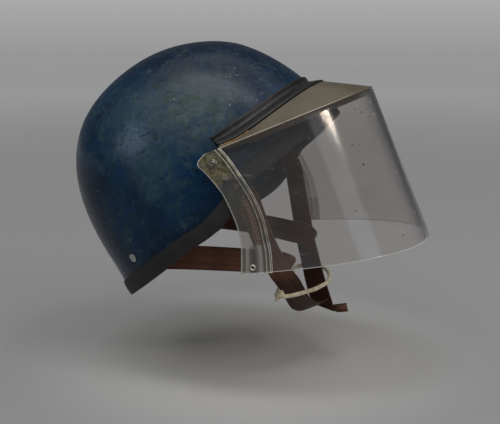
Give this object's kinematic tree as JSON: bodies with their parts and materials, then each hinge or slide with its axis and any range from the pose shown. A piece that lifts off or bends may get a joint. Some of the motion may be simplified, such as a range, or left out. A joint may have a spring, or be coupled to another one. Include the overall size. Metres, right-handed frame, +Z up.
{
  "type": "riot helmet",
  "caption": "Hard painted dome helmet with rubber edging, peak, clear face shield on curved side strips, leather nape and chin straps tied with a cord.",
  "frame": {"origin": "the highest point inside the crown, where a head holds the helmet up", "axes": "+X forwards to the face, +Y to the wearer's left, +Z up, with the shell pitched back as the picture shows it worn"},
  "size_m": [0.3516, 0.2488, 0.2666],
  "materials": {
    "shell_paint": "worn glossy dark navy paint on a hard moulded shell",
    "edging_rubber": "dull black rubber",
    "moulding_rubber": "dark brown-black rubber with a slight sheen",
    "peak_sheet": "aged tan translucent plastic sheet with glue stains",
    "visor_sheet": "clear acrylic sheet with a light haze and fine scratches",
    "strip_plastic": "clear ribbed plastic strip, yellowed by old glue",
    "dull_steel": "tarnished steel with brown stains",
    "eyelet_metal": "dull bright metal",
    "rivet_metal": "pale weathered metal",
    "strap_leather": "dark reddish brown smooth leather with a worn sheen",
    "cotton_cord": "braided cream cord, speckled and slightly fuzzy"
  },
  "bodies": {
    "root": {"shell": "shell_paint", "rim_trim": "edging_rubber", "brow_moulding": "moulding_rubber", "peak_panel": "peak_sheet", "visor": "visor_sheet", "side_strip_right": "strip_plastic", "side_strip_left": "strip_plastic", "strip_screw_right": "dull_steel", "strip_screw_left": "dull_steel", "strip_pin_right": "dull_steel", "strip_pin_left": "dull_steel", "screw_spacer_right": "edging_rubber", "screw_spacer_left": "edging_rubber", "pin_spacer_right": "edging_rubber", "pin_spacer_left": "edging_rubber", "strip_eyelet_right": "eyelet_metal", "strip_eyelet_left": "eyelet_metal", "shell_rivet_right": "rivet_metal", "shell_rivet_left": "rivet_metal", "nape_strap_right": "strap_leather", "nape_strap_left": "strap_leather", "chin_strap_right": "strap_leather", "chin_strap_left": "strap_leather", "tie_cord": "cotton_cord", "tie_knot": "cotton_cord"}
  },
  "joints": []
}
